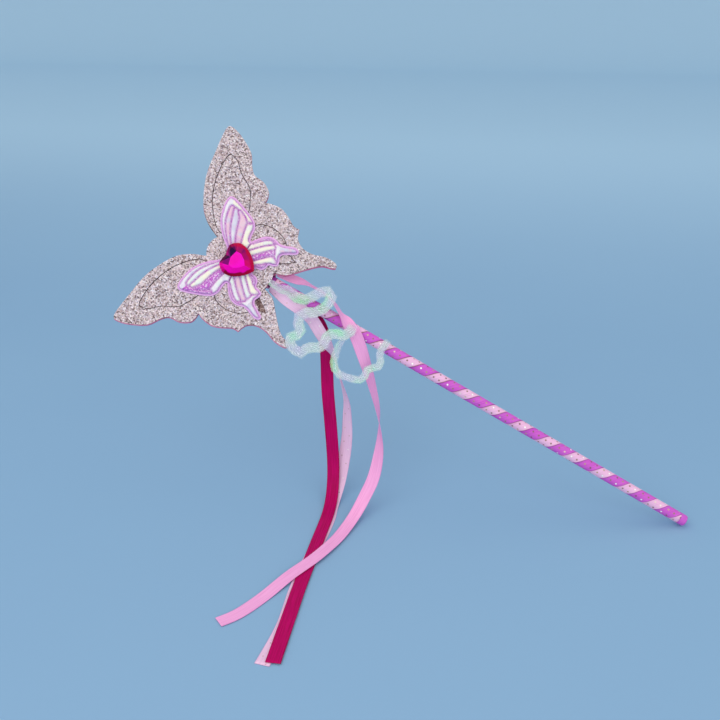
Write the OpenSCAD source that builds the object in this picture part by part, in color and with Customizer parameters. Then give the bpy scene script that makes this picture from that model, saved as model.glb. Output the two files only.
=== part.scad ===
// Toy fairy wand: a dowel wound with two ribbons, a foam butterfly head and a bunch of ribbons.
// The wand leans as it is shown, with the centre of its butt end at the origin.
// Along the stick, local X runs from the head to the butt, local Y across the wings to the
// upper one, and local Z out of the butterfly's face. The pose then tilts these axes.

/* [Stick] */
// Diameter of the bare dowel
dowel_d = 7.2; // [6:0.1:8.4]
// Length of the dowel, from the end cap into the head
dowel_len = 370; // [360:1:376]
// Thickness of the ribbons wound on the dowel
wrap_t = 0.35; // [0.25:0.05:0.5]
// Length of stick that one turn of the two wound ribbons covers
wrap_pitch = 22; // [20:0.5:26]
// Width of the orchid winding along the stick
orchid_w = 11.8; // [8:0.1:13]
// Gap between the edges of the wound ribbons
wrap_gap = 0.2; // [0.1:0.05:0.4]
// Place of one orchid band's middle on the front of the stick, from the butt
orchid_at = 11.7; // [0:0.1:22]
// Length of the end cap
cap_len = 5; // [4:0.5:10]
// Thickness of the end cap's closed end
cap_floor = 0.8; // [0.5:0.1:1.5]

/* [Butterfly] */
// Span from forewing tip to forewing tip
wing_span = 156; // [140:1:175]
// Length from the forewing tips to the hindwing tails
head_len = 116; // [106:1:126]
// Length of dowel that the head holds
head_hold = 37; // [33:0.5:40]
// Thickness of each foam sheet
foam_t = 2; // [1.5:0.1:2.5]
// Width of the slits round the wing panels
slit_w = 0.5; // [0.3:0.1:0.8]
// How far the back sheet lies below the front sheet
back_drop = 0.8; // [0:0.1:1.2]

/* [Padded applique] */
// Span of the small butterfly
applique_span = 76; // [70:1:84]
// Length of the small butterfly
applique_len = 62; // [57:1:68]
// Distance from the foam tails to the small butterfly's tails
applique_up = 27; // [24:0.5:30]
// Thickness of its backing cloth
backing_t = 0.8; // [0.5:0.1:1.2]
// Thickness of its padding
padding_t = 0.7; // [0.4:0.1:1.2]
// Height of the film at its sealed edges
film_edge_h = 0.3; // [0.2:0.05:0.5]
// Height that the ribs of the film rise above its edges
film_crown_h = 1.5; // [1:0.1:2.2]

/* [Heart gem] */
// Length of the heart from its point to its lobes
heart_len = 24; // [21:0.5:26]
// Width of the heart
heart_w = 23.6; // [21:0.2:26]
// Distance from the foam tails to the heart's point
heart_up = 46.9; // [45:0.1:49]
// Height of the heart's upright edge
girdle_h = 1.3; // [0.8:0.1:2]
// Height of the gem from its back to its table
gem_h = 5.2; // [4:0.1:7]
// Thickness of the foil behind the gem
foil_t = 0.2; // [0.1:0.05:0.4]

/* [Ribbons] */
// Width of the hanging ribbons
ribbon_w = 9; // [6:0.5:10]
// Thickness of the hanging ribbons
ribbon_t = 0.4; // [0.3:0.05:0.5]
// Width of the wavy braid
braid_w = 5.4; // [4:0.2:5.6]
// Length of the tie that holds the bunch on the dowel
tie_len = 8; // [6:0.5:10]
// Length of the tie that stands out of the head
tie_out = 2.2; // [1.5:0.1:3]
// Thickness of the tie
tie_t = 0.35; // [0.25:0.05:0.4]

/* [Pose] */
// Slope of the stick above the level, in degrees
stick_tilt = 27.5; // [0:0.5:60]
// Turn of the butterfly about the stick, in degrees
head_roll = 63.9; // [0:0.1:90]
// Turn of the foam butterfly in its own plane, in degrees
head_turn = -1; // [-3:0.5:3]

/* [Clearances] */
// Fit of the cap, the tie and the head on the dowel
fit_gap = 0.05; // [0.02:0.01:0.1]
// Clear space between the stick's ribbons and the front sheet
seat_gap = 0.3; // [0.2:0.05:0.5]

/* [Hidden] */
$fn = 64;

// Overrun of every cut
overrun = 1;

// Stick
dowel_r = dowel_d / 2;
bore_r = dowel_r + fit_gap;
wrap_r = bore_r + wrap_t;
tie_r = bore_r + tie_t;
pale_w = wrap_pitch - orchid_w - 2 * wrap_gap;
dowel_end = cap_floor + dowel_len;

// Places along the stick, as distances from the butt
body_end_share = 0.291;
neck_at = dowel_end - head_hold;
tail_at = neck_at - body_end_share * head_len;
tie_from = neck_at - tie_out;
tie_to = tie_from + tie_len;
wrap_from = cap_len + wrap_gap;
wrap_to = tie_from - wrap_gap;

// Levels in front of the stick's axis
sheet_z = max(wrap_r, tie_r) + seat_gap;
back_z = sheet_z - foam_t;
face_z = sheet_z + foam_t;
padding_z = face_z + backing_t;
film_z = padding_z + padding_t;
foil_z = film_z + film_edge_h + film_crown_h;
gem_z = foil_z + foil_t;
channel_r = bore_r + foam_t;

// Rings of a wound ribbon in each turn, and the least width at its trimmed ends
wrap_rings = 24;
trim_w = wrap_gap;

// Half outline of the foam butterfly: shares of its length from the tails, and of half its span
head_shares = [[0.724, 0], [0.716, 0.059], [0.699, 0.099]];
forewing_shares = [[0.699, 0.099], [0.780, 0.151], [0.845, 0.224], [0.886, 0.308], [0.927, 0.428],
                   [0.957, 0.558], [0.976, 0.744], [0.990, 0.905], [0.988, 0.982], [0.962, 1.000],
                   [0.890, 0.972], [0.793, 0.894], [0.741, 0.786], [0.698, 0.733], [0.632, 0.722],
                   [0.573, 0.662], [0.563, 0.568]];
hindwing_shares = [[0.563, 0.568], [0.530, 0.592], [0.461, 0.603], [0.403, 0.573], [0.345, 0.527],
                   [0.306, 0.526]];
tail_shares = [[0.306, 0.526], [0.284, 0.447], [0.230, 0.399], [0.163, 0.399], [0.084, 0.436],
               [0.017, 0.436], [0.000, 0.403], [0.022, 0.382], [0.081, 0.351], [0.153, 0.248],
               [0.222, 0.132], [0.263, 0.100], [0.303, 0.085]];
body_shares = [[0.303, 0.085], [body_end_share, 0]];

// Wing panels inside the slits, in the same shares
fore_panel_shares = [[0.715, 0.145], [0.769, 0.203], [0.820, 0.295], [0.853, 0.376], [0.878, 0.468],
                     [0.895, 0.564], [0.903, 0.679], [0.896, 0.780], [0.861, 0.784], [0.822, 0.758],
                     [0.777, 0.694], [0.728, 0.654], [0.685, 0.615], [0.655, 0.551], [0.621, 0.449],
                     [0.603, 0.333], [0.616, 0.218], [0.655, 0.147]];
hind_panel_shares = [[0.277, 0.194], [0.341, 0.135], [0.409, 0.103], [0.478, 0.122], [0.526, 0.205],
                     [0.547, 0.308], [0.530, 0.382], [0.475, 0.414], [0.418, 0.418], [0.358, 0.392],
                     [0.319, 0.350], [0.271, 0.286]];
hind_tip_share = [0.216, 0.263];
// The left hind panel is drawn back from the point of its slit
drawn_panel_shares = [[0.303, 0.222], [0.349, 0.143]];
drawn_tip_share = [0.258, 0.262];

// Half outline of the applique: shares of its own length from its tails, and of half its span
applique_fore_shares = [[0.690, 0], [0.730, 0.128], [0.825, 0.256], [0.897, 0.389], [0.951, 0.529],
                        [0.986, 0.729], [0.993, 0.865], [0.980, 0.955], [0.939, 0.985], [0.866, 0.962],
                        [0.771, 0.909], [0.663, 0.838], [0.590, 0.765], [0.553, 0.660], [0.548, 0.556],
                        [0.538, 0.465], [0.520, 0.437]];
applique_hind_shares = [[0.520, 0.437], [0.486, 0.520], [0.440, 0.610], [0.390, 0.672], [0.334, 0.699],
                        [0.284, 0.690], [0.235, 0.668], [0.186, 0.676], [0.121, 0.716], [0.055, 0.745],
                        [0.006, 0.718], [0.006, 0.650], [0.080, 0.574], [0.137, 0.514], [0.155, 0.449],
                        [0.135, 0.372], [0.132, 0.292], [0.172, 0.247], [0.217, 0.224], [0.238, 0.131],
                        [0.275, 0.072], [0.328, 0.054], [0.345, 0]];
// Width of the sealed border round the padding, as a share of the applique's span
border_share = 0.0155;

// Edges of the film on each wing, from its root to its tip, in the applique's shares
fore_film_lead_shares = [[0.715, 0.150], [0.795, 0.270], [0.880, 0.430], [0.935, 0.590], [0.965, 0.770],
                         [0.960, 0.900]];
fore_film_trail_shares = [[0.572, 0.320], [0.570, 0.470], [0.578, 0.620], [0.640, 0.760], [0.760, 0.858],
                          [0.890, 0.925]];
hind_film_lead_shares = [[0.490, 0.330], [0.462, 0.470], [0.400, 0.600], [0.320, 0.655], [0.190, 0.632],
                         [0.060, 0.700]];
hind_film_trail_shares = [[0.360, 0.165], [0.280, 0.140], [0.232, 0.265], [0.180, 0.330], [0.185, 0.500],
                          [0.050, 0.655]];
fore_ribs = 4;
hind_ribs = 4;
film_rows = 10;
film_columns = 12;

// Half outline of the heart: shares of its length from its point, and of half its width
heart_shares = [[0, 0], [0.067, 0.237], [0.180, 0.508], [0.350, 0.780], [0.496, 0.940], [0.663, 1.000],
                [0.810, 0.930], [0.980, 0.590], [0.933, 0]];
heart_middle_share = 0.560;
table_share = 0.500;
hub_share = 0.360;

// Routes of the hanging ribbons: each row is a point, then the direction of the ribbon's width
cerise_route = [
    [[-297.3, 2.8, 150.1], [0.26, 0.83, 0.49]],
    [[-290.4, 3.1, 146], [0.32, 0.66, 0.66]],
    [[-274.5, 2, 135], [0.41, 0.44, 0.8]],
    [[-264, 1, 127], [0.6, 0.4, 0.6]],
    [[-258.6, -1.2, 116], [0.85, 0.3, 0.3]],
    [[-256.6, -3.4, 104], [0.97, 0.22, 0]],
    [[-255.4, -6.4, 79], [0.97, 0.22, 0]],
    [[-253, -9, 54], [0.97, 0.22, 0]],
    [[-250.8, -11.8, 29.5], [0.97, 0.22, 0]],
    [[-249.7, -15.2, 15], [0.97, 0.22, 0]],
    [[-249.1, -20.6, 4], [0.98, 0.2, 0]],
    [[-248, -31, -1.7], [0.99, 0.12, 0]],
    [[-246.5, -47.5, -2.5], [1, 0.05, 0]],
    [[-245.5, -73.5, -2.5], [1, 0, 0]],
    [[-244.5, -97.5, -2.5], [1, 0, 0]],
    [[-243.5, -124.5, -2.5], [1, 0, 0]],
    [[-241, -162, -2.5], [1, 0.05, 0]],
    [[-238.9, -193, -2.5], [1, 0.05, 0]]];
light_pink_route = [
    [[-293.8, 5.3, 157.4], [-0.13, 0.97, -0.2]],
    [[-286.9, 6.5, 156.2], [0.04, 0.97, 0.21]],
    [[-278.9, 6.2, 154.2], [0.06, 0.96, 0.25]],
    [[-269.8, 4.8, 151.9], [-0.12, 0.98, -0.17]],
    [[-259.8, 3.9, 147.2], [-0.11, 0.98, -0.2]],
    [[-252.1, 1.2, 141.8], [-0.06, 0.97, -0.25]],
    [[-245.5, -4.2, 136.1], [0.06, 0.97, -0.24]],
    [[-239.2, -5.7, 128.2], [0.74, 0.6, 0.25]],
    [[-233.5, -7, 119.6], [0.9, 0.4, 0.2]],
    [[-227, -6.5, 99.5], [0.62, 0.78, 0.1]],
    [[-222.5, -7, 84.5], [0.36, 0.93, 0]],
    [[-217.5, -9.5, 66], [0.02, 1, 0]],
    [[-215.5, -13.5, 49.5], [-0.5, 0.85, 0]],
    [[-215.5, -18, 35.5], [-0.85, 0.5, 0]],
    [[-217.5, -24.5, 21], [-0.97, 0.1, 0]],
    [[-222, -32.5, 9.5], [-0.97, 0, 0]],
    [[-227, -46, 0.5], [-0.98, 0.1, 0]],
    [[-232, -67.5, -2], [-0.98, 0.2, 0]],
    [[-237, -84, -1.6], [-0.95, 0.28, 0]],
    [[-243, -99, -1.5], [-0.92, 0.38, 0]],
    [[-252.5, -117.5, -1.7], [-0.9, 0.42, 0]],
    [[-262.5, -139.5, -3], [-0.9, 0.44, 0]],
    [[-272, -157.5, -3], [-0.87, 0.5, 0]],
    [[-281, -167.5, -3], [-0.8, 0.6, 0]]];
dotted_route = [
    [[-296.3, -4.42, 151.77], [0.42, -0.41, 0.81]],
    [[-290.1, -5.65, 148.55], [0.48, -0.05, 0.8]],
    [[-281.7, -7, 143.2], [0.52, 0.4, 0.74]],
    [[-272.8, -6.3, 136.9], [0.52, 0.3, 0.78]],
    [[-266.5, -5.5, 131], [0.65, 0.1, 0.7]],
    [[-260, -6.5, 121.5], [0.8, 0.1, 0.5]],
    [[-254, -8.5, 113], [0.8, -0.3, 0.2]],
    [[-249.5, -8.5, 103], [0.5, -0.8, 0]],
    [[-245.5, -6.5, 86.5], [0.45, -0.85, 0]],
    [[-242, -4.5, 70], [0.65, -0.7, 0]],
    [[-241.6, -4.2, 57], [0.8, -0.5, 0]],
    [[-241.7, -4.9, 41.5], [0.92, -0.3, 0]],
    [[-243.2, -7.4, 25], [0.95, 0, 0]],
    [[-245.1, -13.7, 9], [0.97, 0.1, 0]],
    [[-246.6, -23.4, -0.7], [0.98, 0.1, 0]],
    [[-246.2, -34.8, -3.1], [0.99, 0.05, 0]],
    [[-244.7, -48.7, -3.3], [1, 0, 0]],
    [[-244.6, -71, -3.3], [1, 0, 0]],
    [[-245.3, -97.5, -3.3], [1, -0.05, 0]],
    [[-245.3, -125.5, -3.3], [1, 0, 0]],
    [[-242.7, -162, -3.3], [1, 0.05, 0]],
    [[-244.7, -195, -3.3], [1, 0, 0]]];

// Routes of the wavy braid, in the stick's own axes, with its flat side to the front
braid_upper_route = [
    [-334.4, -1, 7.2], [-326, -1.4, 7.2], [-319.5, 0.2, 7.4], [-312.5, -1.2, 7.6], [-307, 0.4, 7.8],
    [-303.5, 5, 8.2], [-300.5, 10, 8.6], [-296, 13.2, 9], [-292, 11, 9.4], [-291.4, 6.4, 9.4],
    [-293, 1.2, 9.4], [-296.6, -3.8, 9.2], [-301.4, -6.8, 9], [-304.4, -11.4, 8.6], [-302.8, -16, 8.2],
    [-299, -19.4, 8], [-299.4, -23.4, 8], [-302.4, -27, 8], [-300.6, -31.2, 8], [-295.6, -33, 8],
    [-291, -32.4, 8], [-289.4, -28.6, 8], [-286.4, -25.6, 8], [-282.4, -23.6, 8], [-280.2, -19.6, 8],
    [-281, -15, 8], [-279.4, -11, 8.4], [-275.4, -8.6, 9], [-271, -7.2, 10], [-268.8, -3, 10.6],
    [-269.2, 1.4, 10.4], [-270, 4.6, 9.6]];
braid_lower_route = [
    [-267.6, -4.4, 9.7], [-270.6, -9.6, 8.2], [-271, -15.6, 6.6], [-270, -21.4, 6], [-268.4, -26.6, 6],
    [-265, -30.6, 6], [-260.2, -32.4, 6], [-255.4, -31.4, 6], [-250.6, -30.2, 6], [-246.4, -28.6, 6],
    [-244.8, -24.6, 6], [-245.4, -20, 6], [-242.8, -16.8, 6], [-239.6, -14, 6], [-240.4, -10, 6],
    [-243, -6.8, 6.2], [-244, -3, 6.4], [-243.4, 0.4, 6.3], [-243, 3.4, 5.7], [-242.9, 5.2, 3],
    [-242.9, 5.7, -0.4]];
route_steps = 3;
braid_steps = 2;

// A smooth curve through points
function through(a, b, c, d, t) =
    (2 * b + (c - a) * t + (2 * a - 5 * b + 4 * c - d) * t * t + (3 * b - a - 3 * c + d) * t * t * t) / 2;
function open_curve(p, steps) = [
    for (k = [0 : len(p) - 2])
        for (i = [0 : steps - 1])
            through(p[max(k - 1, 0)], p[k], p[k + 1], p[min(k + 2, len(p) - 1)], i / steps),
    p[len(p) - 1]];
function closed_curve(p, steps) = [
    for (k = [0 : len(p) - 1])
        for (i = [0 : steps - 1])
            let (n = len(p))
                through(p[(k + n - 1) % n], p[k], p[(k + 1) % n], p[(k + 2) % n], i / steps)];
function unit(v) = v / norm(v);
function without_last(p) = [for (i = [0 : len(p) - 2]) p[i]];
function placed(shares, from, along, half) = [for (s = shares) [-(from + s[0] * along), s[1] * half]];
function mirrored(p) = [for (i = [len(p) - 1 : -1 : 0]) [p[i][0], -p[i][1]]];

// A half outline from axis to axis becomes a whole one
function both_sides(half) = concat(half, [for (i = [len(half) - 2 : -1 : 1]) [half[i][0], -half[i][1]]]);
function area_of(p) = [for (i = [0 : len(p) - 1]) cross(p[i], p[(i + 1) % len(p)])] * [for (q = p) 1] / 2;

// Each corner of a closed outline moved inwards
function inset(p, by) = let (side = sign(area_of(p)), n = len(p)) [
    for (i = [0 : n - 1])
        let (run = unit(p[(i + 1) % n] - p[(i + n - 1) % n]))
            p[i] + side * by * [-run[1], run[0]]];

// Outlines on the foam butterfly turn with it about the middle of the heart
function turned_flat(p) = let (c = cos(head_turn), s = sin(head_turn)) [
    for (q = p)
        let (d = q - heart_middle)
            heart_middle + [c * d[0] - s * d[1], s * d[0] + c * d[1]]];
function on_side(p, side) = side > 0 ? p : mirrored(p);

function butterfly_outline() = both_sides(concat(
    without_last(open_curve(placed(head_shares, tail_at, head_len, wing_span / 2), 4)),
    without_last(open_curve(placed(forewing_shares, tail_at, head_len, wing_span / 2), 4)),
    without_last(open_curve(placed(hindwing_shares, tail_at, head_len, wing_span / 2), 4)),
    without_last(open_curve(placed(tail_shares, tail_at, head_len, wing_span / 2), 4)),
    placed(body_shares, tail_at, head_len, wing_span / 2)));

function fore_panel_outline() =
    closed_curve(placed(fore_panel_shares, tail_at, head_len, wing_span / 2), 3);

// A hind panel has a sharp point at its tip
function hind_panel_outline(tip, shares) = without_last(open_curve(
    placed(concat([tip], shares, [tip]), tail_at, head_len, wing_span / 2), 3));
function drawn_shares() = concat(drawn_panel_shares,
    [for (i = [2 : len(hind_panel_shares) - 2]) hind_panel_shares[i]]);

applique_at = tail_at + applique_up;
function applique_outline() = both_sides(concat(
    without_last(open_curve(placed(applique_fore_shares, applique_at, applique_len, applique_span / 2), 3)),
    open_curve(placed(applique_hind_shares, applique_at, applique_len, applique_span / 2), 3)));

heart_at = tail_at + heart_up;
heart_steps = 2;
function heart_outline() = both_sides(
    open_curve(placed(heart_shares, heart_at, heart_len, heart_w / 2), heart_steps));
heart_middle = [-(heart_at + heart_middle_share * heart_len), 0];

// Triangles over a row of rings, each with the same count of points, closed at both ends.
// Opposite faces are cut along the same diagonal, so a twisted strip keeps its thickness.
function tube_faces(rings, sides) = concat(
    [[for (j = [sides - 1 : -1 : 0]) j]],
    [for (i = [0 : rings - 2])
        for (j = [0 : sides - 1])
            let (a = i * sides + j, b = i * sides + (j + 1) % sides)
                each j < sides / 2
                    ? [[a, b, b + sides], [a, b + sides, a + sides]]
                    : [[a, b, a + sides], [b, b + sides, a + sides]]],
    [[for (j = [0 : sides - 1]) (rings - 1) * sides + j]]);

// A wound ribbon: rings across the band, turned about the stick and trimmed at both ends
function wrap_span(middle, w) = [for (x = [wrap_to - trim_w + w / 2, wrap_from + trim_w - w / 2])
    (middle - x) * 360 / wrap_pitch];
function wrap_rings_of(middle, w) =
    let (span = wrap_span(middle, w), n = ceil((span[1] - span[0]) * wrap_rings / 360))
        [for (i = [0 : n])
            let (turn = span[0] + (span[1] - span[0]) * i / n,
                 at = middle - wrap_pitch * turn / 360,
                 near = max(wrap_from, at - w / 2),
                 far = min(wrap_to, at + w / 2))
                [for (q = [[near, wrap_r], [far, wrap_r],
                           [far, bore_r / cos(180 / wrap_rings)], [near, bore_r / cos(180 / wrap_rings)]])
                    [-q[0], q[1] * sin(turn), q[1] * cos(turn)]]];
function self_gap(rings) = min([for (i = [0 : len(rings) - 1 - wrap_rings])
    for (p = rings[i])
        for (q = rings[i + wrap_rings])
            norm(p - q)]);

// A flat strip swept along points with a width direction at each
function strip_rings(points, widths, w, t) = [
    for (i = [0 : len(points) - 1])
        let (run = unit(points[min(i + 1, len(points) - 1)] - points[max(i - 1, 0)]),
             across = unit(widths[i] - run * (widths[i] * run)),
             out = cross(run, across))
            [for (c = [[-1, -1], [-1, 1], [1, 1], [1, -1]])
                points[i] + across * c[0] * w / 2 + out * c[1] * t / 2]];
function column(table, k) = [for (r = table) r[k]];
function flat_widths(points) = [for (i = [0 : len(points) - 1])
    cross([0, 0, 1], points[min(i + 1, len(points) - 1)] - points[max(i - 1, 0)])];

module posed() rotate([0, stick_tilt, 0]) rotate([head_roll, 0, 0]) children();
module along_stick(from) translate([-from, 0, 0]) rotate([0, -90, 0]) children();
module layer(z, t) translate([0, 0, z]) linear_extrude(height = t) children();
module tube(rings) polyhedron([for (r = rings) each r], tube_faces(len(rings), len(rings[0])));

module ribbon(route) {
    points = open_curve(column(route, 0), route_steps);
    widths = open_curve(column(route, 1), route_steps);
    tube(strip_rings(points, widths, ribbon_w, ribbon_t));
}

module braid(route) {
    points = open_curve(route, braid_steps);
    posed() tube(strip_rings(points, flat_widths(points), braid_w, ribbon_t));
}

// One wing of the film: ribs that run from root to tip between two edges
module film_wing(lead_shares, trail_shares, ribs, side) {
    steps = film_rows / (len(lead_shares) - 1);
    lead = open_curve(placed(lead_shares, applique_at, applique_len, side * applique_span / 2), steps);
    trail = open_curve(placed(trail_shares, applique_at, applique_len, side * applique_span / 2), steps);
    rows = film_rows;
    cols = film_columns;
    tops = [for (i = [0 : rows])
        for (j = [0 : cols])
            let (p = lead[i] + (trail[i] - lead[i]) * j / cols,
                 swell = sqrt(sin(180 * j / cols)) * sin(18 + 150 * i / rows),
                 rib = 0.5 + 0.5 * abs(sin(180 * ribs * j / cols)))
                [p[0], p[1], film_z + film_edge_h + film_crown_h * swell * rib]];
    rim = concat([for (j = [0 : cols]) j],
                 [for (i = [1 : rows]) i * (cols + 1) + cols],
                 [for (j = [cols - 1 : -1 : 0]) rows * (cols + 1) + j],
                 [for (i = [rows - 1 : -1 : 1]) i * (cols + 1)]);
    base = [for (k = rim) [tops[k][0], tops[k][1], film_z]];
    n = len(tops);
    m = len(rim);
    // The rim's points on the lead edge, the trail edge and the tip, by their place in the base
    lead_at = [for (i = [0 : rows]) n + (i == 0 ? 0 : m - i)];
    trail_at = [for (i = [0 : rows]) n + cols + i];
    tip_at = [for (j = [0 : cols]) n + 2 * cols + rows - j];
    faces = concat(
        [for (i = [0 : rows - 1])
            for (j = [0 : cols - 1])
                let (a = i * (cols + 1) + j, b = a + cols + 1)
                    each [[a, a + 1, b + 1], [a, b + 1, b]]],
        [for (k = [0 : m - 1])
            let (l = (k + 1) % m)
                each [[rim[k], n + k, n + l], [rim[k], n + l, rim[l]]]],
        [for (j = [0 : cols - 1]) [n + j, trail_at[1], n + j + 1]],
        [[lead_at[0], lead_at[1], trail_at[1]]],
        [for (i = [1 : rows - 2])
            each [[lead_at[i], trail_at[i + 1], trail_at[i]], [lead_at[i], lead_at[i + 1], trail_at[i + 1]]]],
        [for (j = [0 : cols - 1]) [lead_at[rows - 1], tip_at[j], tip_at[j + 1]]],
        [[lead_at[rows - 1], trail_at[rows], trail_at[rows - 1]]]);
    turned = [for (f = faces) [for (i = [len(f) - 1 : -1 : 0]) f[i]]];
    polyhedron(concat(tops, base), side < 0 ? faces : turned);
}

module stick_core() {
    color("burlywood") posed() along_stick(cap_floor) cylinder(r = dowel_r, h = dowel_len);
}

module end_cap() {
    color([0.78, 0.29, 0.76]) posed() difference() {
        along_stick(0) cylinder(r = wrap_r, h = cap_len);
        along_stick(cap_floor) cylinder(r = bore_r, h = cap_len);
    }
}

module orchid_wrap() {
    color([0.78, 0.29, 0.76]) posed() tube(wrap_rings_of(orchid_at, orchid_w));
}

module pale_wrap() {
    color([0.92, 0.66, 0.82]) posed() tube(wrap_rings_of(orchid_at + wrap_pitch / 2, pale_w));
}

module front_butterfly() {
    color([0.74, 0.66, 0.67]) posed() layer(sheet_z, foam_t) difference() {
        polygon(turned_flat(butterfly_outline()));
        for (side = [1, -1]) {
            polygon(turned_flat(on_side(fore_panel_outline(), side)));
            polygon(turned_flat(on_side(hind_panel_outline(hind_tip_share, hind_panel_shares), side)));
        }
    }
}

module back_butterfly() {
    color([0.86, 0.53, 0.68]) posed() difference() {
        union() {
            layer(back_z, foam_t) translate([0, -back_drop]) polygon(turned_flat(butterfly_outline()));
            intersection() {
                union() {
                    along_stick(neck_at) cylinder(r = channel_r, h = dowel_end - neck_at);
                    translate([-dowel_end, 0, 0]) sphere(r = channel_r);
                }
                translate([-dowel_end - channel_r - overrun, -channel_r, -channel_r])
                    cube([dowel_end - neck_at + channel_r + overrun, 2 * channel_r, channel_r + sheet_z]);
            }
        }
        stick_room(bore_r, dowel_end + fit_gap);
        stick_room(tie_r + seat_gap, tie_to + seat_gap);
    }
}

// Room for the stick under the front sheet, as far as a place along it
module stick_room(r, to) {
    from = neck_at - head_len * body_end_share / 2;
    along_stick(from) cylinder(r = r, h = to - from);
    translate([-to, -r, 0]) cube([to - from, 2 * r, sheet_z + overrun]);
}

module left_forewing_panel() {
    color([0.74, 0.66, 0.67]) posed() layer(sheet_z, foam_t)
        polygon(turned_flat(mirrored(inset(fore_panel_outline(), slit_w))));
}

module right_forewing_panel() {
    color([0.74, 0.66, 0.67]) posed() layer(sheet_z, foam_t)
        polygon(turned_flat(inset(fore_panel_outline(), slit_w)));
}

module left_hindwing_panel() {
    color([0.74, 0.66, 0.67]) posed() layer(sheet_z, foam_t)
        polygon(turned_flat(mirrored(inset(hind_panel_outline(drawn_tip_share, drawn_shares()), slit_w))));
}

module right_hindwing_panel() {
    color([0.74, 0.66, 0.67]) posed() layer(sheet_z, foam_t)
        polygon(turned_flat(inset(hind_panel_outline(hind_tip_share, hind_panel_shares), slit_w)));
}

module applique_backing() {
    color([0.85, 0.60, 0.88]) posed() layer(face_z, backing_t) polygon(applique_outline());
}

module applique_padding() {
    color("white") posed() layer(padding_z, padding_t)
        polygon(inset(applique_outline(), border_share * applique_span));
}

module applique_film() {
    color([0.90, 0.88, 0.93]) posed() {
        for (side = [1, -1]) {
            film_wing(fore_film_lead_shares, fore_film_trail_shares, fore_ribs, side);
            film_wing(hind_film_lead_shares, hind_film_trail_shares, hind_ribs, side);
        }
        translate([heart_middle[0], heart_middle[1], film_z])
            cylinder(r = hub_share * heart_w, h = foil_z - film_z);
    }
}

module gem_foil() {
    color("silver") posed() layer(foil_z, foil_t) polygon(heart_outline());
}

// The heart: an upright edge, then facets that lean in to a flat table
module heart_gem() {
    rim = heart_outline();
    n = len(rim);
    span = 4;
    corners = n / span;
    table = [for (k = [0 : corners - 1]) heart_middle + table_share * (rim[k * span] - heart_middle)];
    points = concat(
        [for (p = rim) [p[0], p[1], gem_z]],
        [for (p = rim) [p[0], p[1], gem_z + girdle_h]],
        [for (p = table) [p[0], p[1], gem_z + gem_h]]);
    faces = concat(
        [[for (i = [0 : n - 1]) i]],
        [for (i = [0 : n - 1])
            let (j = (i + 1) % n)
                each [[i, n + j, j], [i, n + i, n + j]]],
        [for (k = [0 : corners - 1])
            for (i = [-span / 2 : span / 2 - 1])
                let (a = (k * span + i + n) % n, b = (a + 1) % n)
                    [n + a, 2 * n + k, n + b]],
        [for (k = [0 : corners - 1])
            [n + (k * span + span / 2) % n, 2 * n + k, 2 * n + (k + 1) % corners]],
        [[for (k = [corners - 1 : -1 : 0]) 2 * n + k]]);
    color([0.90, 0, 0.55]) posed() polyhedron(points, faces);
}

module ribbon_tie() {
    color([0.78, 0.29, 0.76]) posed() difference() {
        along_stick(tie_from) cylinder(r = tie_r, h = tie_len);
        along_stick(tie_from - overrun) cylinder(r = bore_r, h = tie_len + 2 * overrun);
    }
}

module cerise_ribbon() {
    color([0.69, 0, 0.38]) ribbon(cerise_route);
}

module light_pink_ribbon() {
    color([0.90, 0.60, 0.85]) ribbon(light_pink_route);
}

module dotted_ribbon() {
    color([0.85, 0.70, 0.85]) ribbon(dotted_route);
}

module braid_upper() {
    color([0.82, 0.88, 0.90]) braid(braid_upper_route);
}

module braid_lower() {
    color([0.82, 0.88, 0.90]) braid(braid_lower_route);
}

echo(str("least gap of the orchid winding to itself, mm: ", self_gap(wrap_rings_of(orchid_at, orchid_w))));
echo(str("least gap of the pale winding to itself, mm: ",
         self_gap(wrap_rings_of(orchid_at + wrap_pitch / 2, pale_w))));

stick_core();
end_cap();
orchid_wrap();
pale_wrap();
front_butterfly();
back_butterfly();
left_forewing_panel();
right_forewing_panel();
left_hindwing_panel();
right_hindwing_panel();
applique_backing();
applique_padding();
applique_film();
gem_foil();
heart_gem();
ribbon_tie();
cerise_ribbon();
light_pink_ribbon();
dotted_ribbon();
braid_upper();
braid_lower();
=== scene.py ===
import math

import bpy
import numpy as np
from mathutils import Matrix, Vector
from mathutils.geometry import delaunay_2d_cdt, tessellate_polygon


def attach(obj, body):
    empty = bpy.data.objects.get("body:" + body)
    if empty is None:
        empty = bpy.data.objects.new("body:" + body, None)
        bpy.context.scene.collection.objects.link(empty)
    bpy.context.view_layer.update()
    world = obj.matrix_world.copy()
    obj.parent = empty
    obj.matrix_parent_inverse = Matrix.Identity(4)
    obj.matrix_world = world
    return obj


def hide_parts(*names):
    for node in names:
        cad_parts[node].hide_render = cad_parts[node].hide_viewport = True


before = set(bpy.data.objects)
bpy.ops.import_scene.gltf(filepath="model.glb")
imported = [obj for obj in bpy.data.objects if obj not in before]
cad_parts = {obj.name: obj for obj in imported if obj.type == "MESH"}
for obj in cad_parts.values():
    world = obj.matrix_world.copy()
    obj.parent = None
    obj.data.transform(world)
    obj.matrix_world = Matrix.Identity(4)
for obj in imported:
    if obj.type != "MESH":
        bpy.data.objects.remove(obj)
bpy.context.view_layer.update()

# Sizes of the wand in millimetres, as in the part's source.
MM = 0.001
STICK_TILT = 27.5
HEAD_ROLL = 63.9
BORE_R = 3.65
WRAP_R = 4.0
WRAP_PITCH = 22.0
WRAP_FROM = 5.2
WRAP_TO = 331.4
WRAP_OVERRUN = 0.2
WRAP_STEPS = 64
ORCHID_AT = 11.7
ORCHID_W = 11.8
PALE_W = 9.8
CAP_LEN = 5.0
TIE_FROM = 331.6
TIE_TO = 339.6
TAIL_AT = 300.044
HEAD_LEN = 116.0
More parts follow.
